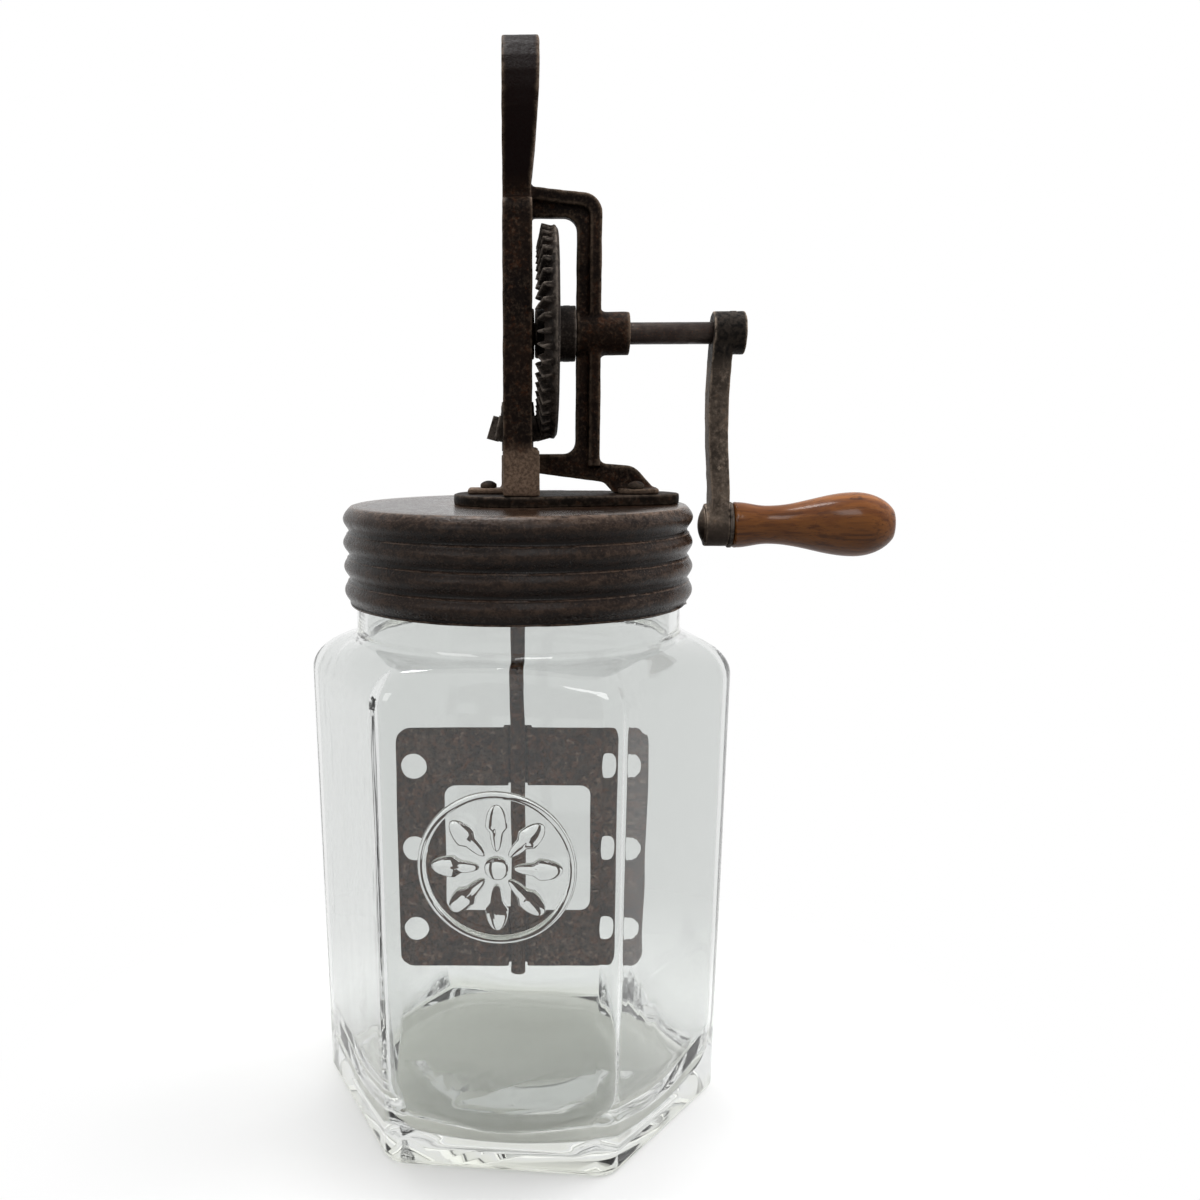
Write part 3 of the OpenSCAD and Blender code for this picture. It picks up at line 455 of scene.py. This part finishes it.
def place(piece, body, slot, material, *nodes):
    """Give a finished piece its material and its body, and hide the nodes it stands for; slot is not used."""
    piece.data.materials.clear()
    piece.data.materials.append(material)
    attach(piece, body)
    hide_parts(*nodes)


# Jar: six flat walls that turn into a round neck

jar_turn = radians(-6)
jar_corner = 10 * mm
corner_cut = tan(pi / 6)


class JarShell:
    """One skin of the jar, pulled up ring by ring from its floor."""

    def __init__(self, name, z, apothem, corner):
        rest()
        bpy.ops.mesh.primitive_circle_add(vertices=6, radius=apothem / cos(pi / 6), fill_type="NGON",
                                          location=(0, 0, z), rotation=(0, 0, jar_turn - pi / 6))
        self.piece = named(name)
        settle(self.piece)
        edit(self.piece)
        bpy.ops.mesh.bevel(offset=corner * corner_cut, segments=10, affect="VERTICES")
        pick(self.piece, lambda side: self.length(side) > 12 * mm, "EDGE")
        bpy.ops.mesh.subdivide(number_cuts=17)
        edit(self.piece, "SELECT", "FACE")
        self.z, self.apothem, self.round, self.circle = z, apothem, 0.0, 0.0
        bpy.ops.object.mode_set(mode="OBJECT")
        points = self.piece.data.vertices
        self.mean = sum(Vector(p.co.xy).length for p in points) / len(points) / apothem
        bpy.ops.object.mode_set(mode="EDIT")

    def length(self, side):
        a, b = (self.piece.data.vertices[i].co for i in side.vertices)
        return (a - b).length

    def ring(self, z, apothem, k=0.0, circle=0.0):
        """Pull the top up to z and shape it, k of the way from six-sided to a circle."""
        bpy.ops.mesh.extrude_region_move(TRANSFORM_OT_translate={"value": (0, 0, z - self.z)})
        centre = (0, 0, z)
        flat, bow = (1 - self.round) * self.apothem, self.round * self.circle
        if self.round >= 1:
            share, grow = 0.0, circle / self.circle
        elif k > 0.9999:
            k, share, grow = 1.0, 1.0, circle / (bow + flat * self.mean)
        else:
            aim = k * circle / ((1 - k) * apothem)
            share = (aim * flat - bow) / (flat * (self.mean + aim))
            grow = (1 - k) * apothem / ((1 - share) * flat)
        if share > 0:
            bpy.ops.transform.tosphere(value=share, center_override=centre)
        bpy.ops.transform.resize(value=(grow, grow, 1), center_override=centre)
        self.z, self.apothem, self.round, self.circle = z, apothem, k, circle

    def open_top(self):
        bpy.ops.mesh.delete(type="ONLY_FACE")
        rest()
        return self.piece


# In millimetres: the walls, the neck's end, the round rim and the hollow's bowl
foot_apothem, wall_spread, wall_top = 78.849, 2.598, 194
neck_top, rim_z, rim_r, rim_bead = 238, 260.75, 67.75, 2.25
hollow_seam, bowl_floor, bowl_high, bowl_in = 60, 9, 26, 9


def wall(z):
    """How far the walls stand from the jar's axis at a height in millimetres."""
    return (foot_apothem + wall_spread * min(1, z / wall_top)) * mm


def rim(shell, angles):
    """Round the jar's rim."""
    for t in angles:
        shell.ring((rim_z + rim_bead * sin(radians(t))) * mm, 0, 1, (rim_r + rim_bead * cos(radians(t))) * mm)


def shoulder(shell, low, rise, apothem, neck, bend):
    """Lead the six walls over a sloping shoulder and a soft bend into the round neck."""
    slope = radians(65)
    start = neck + bend * (1 - cos(slope))
    for i in range(13):
        t = slope * i / 12
        z = low + rise * sin(t) / sin(slope)
        shell.ring(z * mm, apothem, (1 - cos(t)) / (1 - cos(slope)), start * mm)
    for i in range(1, 9):
        t = slope * (1 - i / 8)
        z = low + rise + bend * (sin(slope) - sin(t))
        shell.ring(z * mm, 0, 1, (neck + bend * (1 - cos(t))) * mm)


def build_jar():
    foot, foot_in, neck, hollow_neck, thick = 2.6, 2.1, 70, 65.5, 4.5
    outer = JarShell("glass_jar_body", 0, wall(0) - foot_in * mm, jar_corner)
    for t in (20, 35, 50, 65, 80, 90):
        z = foot * (1 - cos(radians(t)))
        outer.ring(z * mm, wall(z) - foot * (1 - sin(radians(t))) * mm)
    for z in (30, 65, 100, 135, 165, 186):
        outer.ring(z * mm, wall(z))
    shoulder(outer, wall_top, 17, wall(wall_top), neck, 4.3)
    outer.ring(neck_top * mm, 0, 1, neck * mm)
    rim(outer, range(0, 76, 15))
    body = outer.open_top()

    inside = jar_corner - 2 * mm
    inner = JarShell("glass_jar_hollow", hollow_seam * mm, wall(hollow_seam) - thick * mm, inside)
    for z in (85, 110, 140, 168, 184):
        inner.ring(z * mm, wall(z) - thick * mm)
    shoulder(inner, 191, 16, wall(191) - thick * mm, hollow_neck, 6)
    inner.ring(neck_top * mm, 0, 1, hollow_neck * mm)
    rim(inner, range(180, 104, -15))
    walls = inner.open_top()
    bowl = JarShell("glass_jar_bowl", hollow_seam * mm, wall(hollow_seam) - thick * mm, inside)
    bowl.ring(45 * mm, wall(45) - thick * mm)
    for a in range(0, 91, 6):
        z = bowl_floor + bowl_high * (1 - sin(radians(a)))
        apothem = wall(z) - (thick + bowl_in * (1 - cos(radians(a)))) * mm
        bowl.ring(z * mm, apothem, 1 - cos(radians(a)), apothem + 1 * mm)
    for z, size in ((8.7, 0.8), (8.3, 0.5), (8.15, 0.25)):
        bowl.ring(z * mm, 0, 1, size * (apothem + 1 * mm))
    rest()
    for skin in (walls, bowl.piece):
        pick(skin, lambda face: len(face.vertices) > 20
             and abs(face.center.z - hollow_seam * mm) < 0.1 * mm, "FACE")
        bpy.ops.mesh.delete(type="ONLY_FACE")
    hollow = join([walls, bowl.piece])
    edit(hollow)
    bpy.ops.mesh.remove_doubles(threshold=1e-6)
    bpy.ops.mesh.normals_make_consistent(inside=False)
    rest()
    if sum(face.normal.dot(face.center - Vector((0, 0, 0.1))) for face in hollow.data.polygons) > 0:
        edit(hollow)
        bpy.ops.mesh.flip_normals()
        rest()

    jar = join([body, hollow])
    pick(jar, lambda p: p.co.z > 262.9 * mm)
    bpy.ops.mesh.bridge_edge_loops()
    rest()
    pick(jar, lambda face: face.center.z < 0.1 * mm and abs(face.normal.z) > 0.9, "FACE")
    for grow in (0.92, 0.8, 0.7):
        bpy.ops.mesh.extrude_region_move(TRANSFORM_OT_translate={"value": (0, 0, 0)})
        bpy.ops.transform.resize(value=(grow, grow, 1), center_override=(0, 0, 0))
    rest()
    clean(jar)
    return jar


def build_rosette():
    """Raised ring with an eight-petal daisy, pressed into the front wall."""
    facing, height, sunk = radians(264), 132, 0.1 * mm
    out = Vector((cos(facing), sin(facing), 0))
    middle = out * (wall(height) - sunk) + Vector((0, 0, height * mm))
    upright = Matrix.Rotation(facing + pi / 2, 4, "Z") @ Matrix.Rotation(pi / 2, 4, "X")
    stand = Matrix.Translation(middle) @ upright
    parts = []
    rest()
    bpy.ops.mesh.primitive_torus_add(major_radius=29.5 * mm, minor_radius=1.7 * mm,
                                     major_segments=96, minor_segments=16)
    parts.append(named("rosette_ring"))
    for i in range(8):
        rest()
        bpy.ops.mesh.primitive_uv_sphere_add(segments=24, ring_count=14, radius=1)
        petal = named("rosette_petal")
        edit(petal)
        bpy.ops.transform.resize(value=(9.2 * mm, 4.6 * mm, 2.2 * mm))
        pick(petal, lambda p: p.co.x < 0)
        bpy.ops.transform.resize(value=(1.1, 0.62, 0.8), center_override=(0, 0, 0))
        rest()
        petal.matrix_world = Matrix.Rotation(i * pi / 4, 4, "Z") @ Matrix.Translation((16.6 * mm, 0, 0))
        settle(petal)
        parts.append(petal)
    rest()
    bpy.ops.mesh.primitive_uv_sphere_add(segments=32, ring_count=16, radius=1)
    boss = named("rosette_boss")
    edit(boss)
    bpy.ops.transform.resize(value=(5 * mm, 5 * mm, 2.6 * mm))
    rest()
    parts.append(boss)
    for part in parts:
        part.matrix_world = stand
        settle(part)
    return parts


jar = build_jar()
for part in build_rosette():
    modify(jar, "BOOLEAN", operation="UNION", object=part, solver="EXACT")
    take(part)
    bpy.ops.object.delete()
clean(jar, 1e-6)
smooth(jar, 40)
place(jar, "jar", "glass", glass, "glass_jar")


# Lid: pressed sheet with four ring beads and a few old dents

def build_lid():
    pitch, beads, top, valley, depth, steps = 10.2, 4, 266.7, 72.5, 2.4, 24
    hole, flat, corner = 5.5, 70.4, 2.6
    points = [(r, 0, top) for r in (hole, 24, 48, 62, flat)]
    for t in (30, 60):
        points.append((flat + corner * sin(radians(t)), 0, top - corner * (1 - cos(radians(t)))))
    for i in range(6, beads * steps + 1):
        x = i / steps % 1
        swell = (0.5 - 0.5 * cos(2 * pi * x)) ** 0.7
        crease = 0.35 * exp(-((x - 0.12) / 0.035) ** 2) if i > steps else 0
        points.append((valley + depth * swell + crease, 0, top - i * pitch / steps))
    points.append((valley + 0.1, 0, top - beads * pitch))
    lid = turn_profile("lid_pressed", [Vector(p) * mm for p in points], (0, 0, 1), (0, 0, 0), 192)
    clean(lid)
    skirt = lid.vertex_groups.new(name="skirt")
    skirt.add([p.index for p in lid.data.vertices if p.co.z < (top - 2.2) * mm], 1, "REPLACE")
    dents = bpy.data.textures.new("lid_dents", "CLOUDS")
    dents.noise_scale = 0.03
    dents.noise_depth = 2
    modify(lid, "DISPLACE", texture=dents, texture_coords="LOCAL", strength=1.1 * mm,
           mid_level=0.62, vertex_group="skirt")
    modify(lid, "SOLIDIFY", thickness=0.8 * mm, offset=-1)
    clean(lid)
    smooth(lid, 50)
    return lid


place(build_lid(), "head", "lid_metal", tin, "lid")


# Grip: turned wood, bored through for its pin

def build_grip():
    start, length, axis_z = 91.9, 70, 257.3
    collar, neck, bulb, bore, recess = 9.8, 8.2, 13.8, 3.05, 6
    neck_x, bulb_x = 0.22 * length, 0.75 * length
    line = [(0, bore), (0, collar - 1.1), (0.35, collar - 0.35), (1.1, collar), (1.9, collar - 0.05)]
    line += [(1.9 + (neck_x - 1.9) * i / 12, ease(collar - 0.05, neck, i / 12)) for i in range(1, 13)]
    line += [(neck_x + (bulb_x - neck_x) * i / 16, ease(neck, bulb, i / 16)) for i in range(1, 17)]
    for t in range(6, 73, 6):
        line.append((bulb_x + (length - bulb_x) * sin(radians(t)) / sin(radians(72)), bulb * cos(radians(t))))
    end = [p for p in line if p[1] > recess + 0.15 or p[0] < bulb_x]
    line = end + [(end[-1][0] + 0.12, recess + 0.06), (end[-1][0] - 0.3, recess), (length - 4.5, recess),
                  (length - 4.5, bore)]
    points = [Vector((start + x, 0, axis_z + r)) * mm for x, r in line]
    grip = turn_profile("grip_turned", points + points[:1], (1, 0, 0), (0, 0, axis_z * mm), 96)
    clean(grip)
    uneven = bpy.data.textures.new("grip_wear", "CLOUDS")
    uneven.noise_scale = 0.022
    uneven.noise_depth = 1
    outside = grip.vertex_groups.new(name="outside")
    centre = Vector((0, 0, axis_z * mm))
    outside.add([p.index for p in grip.data.vertices
                 if (p.co - centre).yz.length > 6.6 * mm and p.co.x > (start + 1.5) * mm], 1, "REPLACE")
    modify(grip, "DISPLACE", texture=uneven, texture_coords="LOCAL", strength=0.35 * mm,
           mid_level=0.7, vertex_group="outside")
    smooth(grip, 40)
    return grip


place(build_grip(), "grip", "wood", wood, "wooden_grip")


# Castings, gears and sheet, from the solids themselves

place(sand_cast("frame", 0.75 * mm, 5, 0.4 * mm, 0.009), "head", "cast_iron", iron, "frame")
place(sand_cast("crank_arm", 0.5 * mm, 6, 0.35 * mm, 0.006), "crank", "cast_iron", arm_iron, "crank_arm")
place(sand_cast("base_plate", 0.7 * mm, 6, 0.3 * mm, 0.01), "head", "cast_iron", plate_iron, "base_plate")
place(sand_cast("drive_gear", 0.55 * mm, 2, 0.15 * mm, 0.006), "crank", "cast_iron", gear_iron, "drive_gear")
place(broken_edges("pinion", 0.25 * mm), "dasher", "cast_iron", gear_iron, "pinion")
place(broken_edges("dasher_plate", 0.4 * mm), "dasher", "plate_metal", sheet, "dasher_plate")
place(broken_edges("dasher_spindle", 0.4 * mm), "dasher", "steel", sheet, "dasher_spindle")
place(broken_edges("dasher_rivets", 0.25 * mm), "dasher", "steel", sheet, "dasher_rivets")
place(broken_edges("crank_shaft", 0.4 * mm), "crank", "steel", shaft_steel, "crank_shaft")
place(broken_edges("frame_bolts", 0.3 * mm), "head", "steel", plate_iron, "frame_bolts")
place(broken_edges("grip_spindle", 0.3 * mm), "crank", "steel", arm_iron, "grip_spindle")
place(broken_edges("grip_washer", 0.3 * mm), "crank", "steel", gear_iron, "grip_washer")
for name, finish in (("seal_ring", rubber), ("bolt_washers", steel), ("bolt_nuts", steel),
                     ("thrust_washer", steel), ("gear_pin", steel), ("crank_pin", steel),
                     ("grip_end_washer", steel), ("pinion_pin", steel), ("spindle_collar", steel),
                     ("collar_pin", steel)):
    node = frame["nodes"][name]
    node.data.materials.clear()
    node.data.materials.append(finish)


# Stage, light and camera

def stage_floor(name):
    """Pale floor: it keeps the object's shadow and fades to white away from it."""
    f = Finish(name, Roughness=0.9, Specular_IOR_Level=0.0)
    flat = f.node("ShaderNodeVectorMath", operation="MULTIPLY")
    flat.inputs[1].default_value = (1, 1, 0)
    f.link(f.place, flat.inputs[0])
    away = f.node("ShaderNodeVectorMath", operation="LENGTH")
    f.link(flat.outputs[0], away.inputs[0])
    reach = away.outputs["Value"]
    light = f.node("ShaderNodeLightPath")
    seen = f.sum(light.outputs["Is Camera Ray"], light.outputs["Is Glossy Ray"], "MAXIMUM")
    seen = f.sum(seen, light.outputs["Is Transmission Ray"], "MAXIMUM")
    f.set(Base_Color=f.blend(seen, (0.18, 0.18, 0.18), (0.66, 0.66, 0.66)))
    # Bounce rays see a darker floor, and away from the object it glows grey, brighter behind: painted light
    # from the back of the studio. Camera, glossy and transmission rays see white there.
    white = f.node("ShaderNodeEmission")
    painted_back_glow = f.span(f.height(1), -0.05, 0.25, 0.2, 0.75)
    f.link(f.blend(seen, painted_back_glow, (1, 1, 1)), white.inputs["Color"])
    fade = f.node("ShaderNodeMixShader")
    f.link(f.span(reach, 0.1, 0.25), fade.inputs[0])
    f.link(f.shader.outputs[0], fade.inputs[1])
    f.link(white.outputs[0], fade.inputs[2])
    f.link(fade.outputs[0], f.output.inputs["Surface"])
    return f.material


rest()
floor_gap = 0.0002
bpy.ops.mesh.primitive_circle_add(vertices=96, radius=3, fill_type="NGON", location=(0, 0, -floor_gap))
floor = named("studio_floor")
settle(floor)
floor.data.materials.append(stage_floor("floor_white"))


def studio_world():
    """White behind the object, in metal and through glass, and light that comes from above and behind."""
    world = bpy.data.worlds.new("studio")
    bpy.context.scene.world = world
    world.use_nodes = True
    tree = world.node_tree
    back = tree.nodes["Background"]
    paths = tree.nodes.new("ShaderNodeLightPath")
    where = tree.nodes.new("ShaderNodeTexCoord")
    lean = tree.nodes.new("ShaderNodeVectorMath")
    lean.operation = "DOT_PRODUCT"
    lean.inputs[1].default_value = (0.15, 0.75, 0.55)
    tree.links.new(where.outputs["Generated"], lean.inputs[0])
    rise = tree.nodes.new("ShaderNodeMapRange")
    rise.interpolation_type = "SMOOTHSTEP"
    for key, number in (("From Min", -0.5), ("From Max", 0.9), ("To Min", 0.07), ("To Max", 0.8)):
        rise.inputs[key].default_value = number
    tree.links.new(lean.outputs["Value"], rise.inputs["Value"])

    seen = paths.outputs["Is Camera Ray"]
    for way in ("Is Glossy Ray", "Is Transmission Ray"):
        either = tree.nodes.new("ShaderNodeMath")
        either.operation = "MAXIMUM"
        tree.links.new(seen, either.inputs[0])
        tree.links.new(paths.outputs[way], either.inputs[1])
        seen = either.outputs[0]
    shown = tree.nodes.new("ShaderNodeMix")
    shown.data_type = "RGBA"
    tree.links.new(seen, shown.inputs[0])
    tree.links.new(rise.outputs["Result"], shown.inputs[mix_a])
    shown.inputs[mix_b].default_value = (1, 1, 1, 1)
    tree.links.new(shown.outputs[mix_out], back.inputs["Color"])


studio_world()


def lamp(name, place, aim, size, power):
    """Add an area lamp that glass doesn't show as a bright shape behind it."""
    rest()
    bpy.ops.object.light_add(type="AREA", location=place)
    light = bpy.context.object
    light.name = name
    light.data.shape = "RECTANGLE"
    light.data.size, light.data.size_y = size
    light.data.energy = power
    light.visible_transmission = False
    light.rotation_euler = (Vector(aim) - Vector(place)).to_track_quat("-Z", "Y").to_euler()
    return light


lamp("key", (1.0, 0.32, 1.06), (0, 0, 0.2), (1.1, 1.1), 27).visible_glossy = False
lamp("fill", (-0.9, -0.9, 0.9), (0, 0, 0.25), (0.6, 0.6), 4)
lamp("front", (0.25, -0.95, 1.35), (0, 0, 0.28), (0.5, 0.5), 5)
lamp("top", (-0.14, 0.2, 1.3), (0, 0, 0.25), (0.35, 0.5), 10)

yaw, pitch, roll = radians(-0.864), radians(11.111), radians(-0.284)
ahead = Vector((sin(yaw) * cos(pitch), cos(yaw) * cos(pitch), -sin(pitch)))
right = Vector((cos(yaw), -sin(yaw), 0))
up = right.cross(ahead)
right, up = cos(roll) * right + sin(roll) * up, cos(roll) * up - sin(roll) * right
lens = bpy.data.cameras.new("photo_view")
lens.sensor_width = 36
lens.lens = 36.68
lens.shift_x, lens.shift_y = 0.0833, 0.05
lens.clip_start, lens.clip_end = 0.01, 50
camera = bpy.data.objects.new("photo_view", lens)
bpy.context.collection.objects.link(camera)
facing = Matrix((right, up, -ahead)).transposed().to_4x4()
camera.matrix_world = Matrix.Translation((0, -0.529, 0.3021)) @ facing
bpy.context.scene.camera = camera
bpy.context.scene.view_settings.view_transform = "Standard"
bpy.context.scene.cycles.max_bounces = 32
bpy.context.scene.cycles.glossy_bounces = 24
bpy.context.scene.cycles.transmission_bounces = 24

rest()
